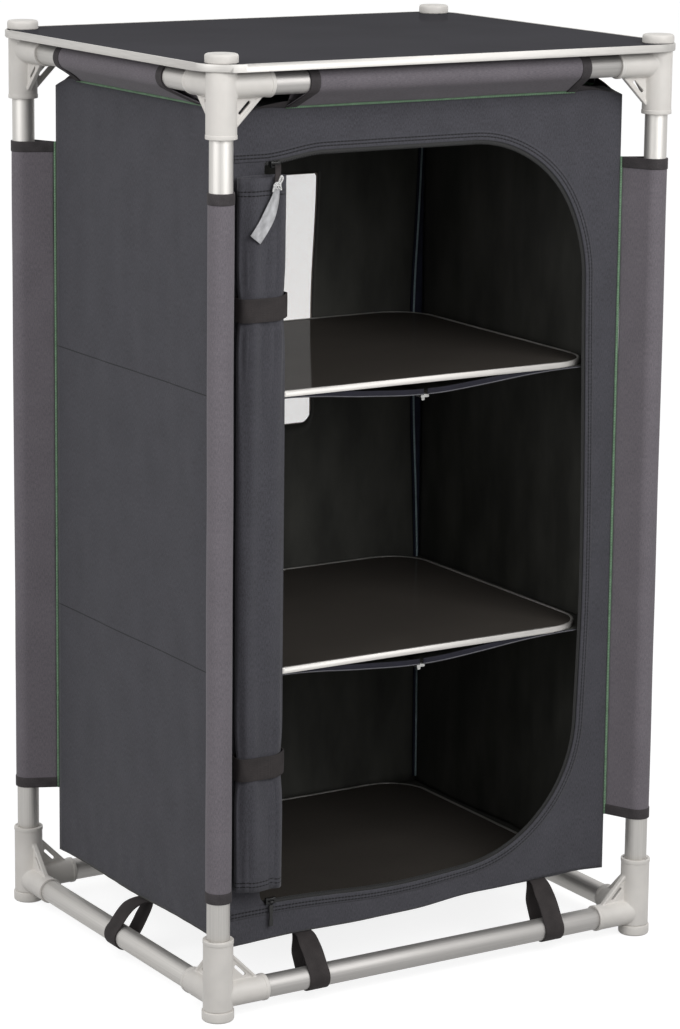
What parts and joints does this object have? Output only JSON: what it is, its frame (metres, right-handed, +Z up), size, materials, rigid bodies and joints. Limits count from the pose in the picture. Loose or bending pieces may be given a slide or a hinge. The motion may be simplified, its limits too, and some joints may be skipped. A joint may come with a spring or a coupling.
{
  "type": "camping cupboard",
  "caption": "Free-standing camping cupboard: tube frame in slotted corner connectors, zipped cloth cabinet with loose shelf boards, rolled-up door and flat tabletop.",
  "frame": {"origin": "on the ground, at the centre of the tabletop's and the frame's footprint", "axes": "+Z up, -Y towards the side with the door, +X to the right of someone facing the door"},
  "size_m": [0.6, 0.5, 1.032],
  "materials": {
    "tube": "satin, drawn",
    "connector_plastic": "light warm grey, fine grain",
    "tabletop_laminate": "dark grey laminate, semi-gloss",
    "board_laminate": "near-black laminate, semi-gloss",
    "edge_profile": "satin",
    "cabinet_cloth": "coated polyester, anthracite",
    "door_cloth": "coated polyester, anthracite",
    "sleeve_cloth": "polyester, mid grey",
    "piping": "grey-green cord",
    "webbing": "black webbing",
    "window_net": "pale fine net",
    "zip_tape": "black coil zip",
    "zip_metal": "plated",
    "pull_ribbon": "silver-white cord and ribbon",
    "pull_dark": "soft black plastic"
  },
  "bodies": {
    "cupboard": {"back_window_net": "window_net", "bottom_connectors": "connector_plastic", "bottom_rail_back": "tube", "bottom_rail_front": "tube", "bottom_rail_left": "tube", "bottom_rail_right": "tube", "cabinet_back_wall": "cabinet_cloth", "cabinet_floor": "cabinet_cloth", "cabinet_front_panel": "cabinet_cloth", "cabinet_left_wall": "cabinet_cloth", "cabinet_piping": "piping", "cabinet_right_wall": "cabinet_cloth", "cabinet_roof": "cabinet_cloth", "door_roll": "door_cloth", "door_zip": "zip_tape", "door_zip_sliders": "zip_metal", "feet": "connector_plastic", "hold_down_loops": "webbing", "middle_shelf_sling": "cabinet_cloth", "post_back_left": "tube", "post_back_right": "tube", "post_front_left": "tube", "post_front_right": "tube", "post_sleeve_back_left": "sleeve_cloth", "post_sleeve_back_right": "sleeve_cloth", "post_sleeve_front_left": "sleeve_cloth", "post_sleeve_front_right": "sleeve_cloth", "roll_straps": "webbing", "sling_zips": "zip_tape", "top_connectors": "connector_plastic", "top_rail_back": "tube", "top_rail_front": "tube", "top_rail_left": "tube", "top_rail_right": "tube", "top_rail_sleeve_back": "sleeve_cloth", "top_rail_sleeve_front": "sleeve_cloth", "top_rail_sleeve_left": "sleeve_cloth", "top_rail_sleeve_right": "sleeve_cloth", "upper_shelf_sling": "cabinet_cloth"},
    "tabletop": {"tabletop_panel": "tabletop_laminate", "tabletop_rim": "edge_profile", "tabletop_corner_caps": "connector_plastic"},
    "upper_shelf": {"upper_shelf_board": "board_laminate", "upper_shelf_board_rim": "edge_profile"},
    "middle_shelf": {"middle_shelf_board": "board_laminate", "middle_shelf_board_rim": "edge_profile"},
    "floor_shelf": {"floor_board": "board_laminate", "floor_board_rim": "edge_profile"},
    "upper_zip_slider": {"upper_sling_zip_slider": "zip_metal"},
    "middle_zip_slider": {"middle_sling_zip_slider": "zip_metal"},
    "top_pull": {"top_door_pull": "pull_ribbon"},
    "bottom_pull": {"bottom_door_pull": "pull_dark"}
  },
  "joints": [
    {"name": "tabletop_lift", "type": "slide", "parent": "cupboard", "child": "tabletop", "axis": [0, 0, 1], "range_m": [0, 0.12]},
    {"name": "upper_shelf_lift", "type": "slide", "parent": "cupboard", "child": "upper_shelf", "axis": [0, 0, 1], "range_m": [0, 0.25]},
    {"name": "middle_shelf_lift", "type": "slide", "parent": "cupboard", "child": "middle_shelf", "axis": [0, 0, 1], "range_m": [0, 0.25]},
    {"name": "floor_board_lift", "type": "slide", "parent": "cupboard", "child": "floor_shelf", "axis": [0, 0, 1], "range_m": [0, 0.25]},
    {"name": "upper_sling_zip_travel", "type": "slide", "parent": "cupboard", "child": "upper_zip_slider", "axis": [0, 1, 0], "range_m": [0, 0.37]},
    {"name": "middle_sling_zip_travel", "type": "slide", "parent": "cupboard", "child": "middle_zip_slider", "axis": [0, 1, 0], "range_m": [0, 0.37]},
    {"name": "top_door_pull_swing", "type": "hinge", "parent": "cupboard", "child": "top_pull", "pos_m": [-0.196, -0.2015, 0.9115], "axis": [1, 0, 0], "range_deg": [-90, 0]},
    {"name": "bottom_door_pull_swing", "type": "hinge", "parent": "cupboard", "child": "bottom_pull", "pos_m": [-0.196, -0.2015, 0.1115], "axis": [1, 0, 0], "range_deg": [-90, 5]}
  ]
}
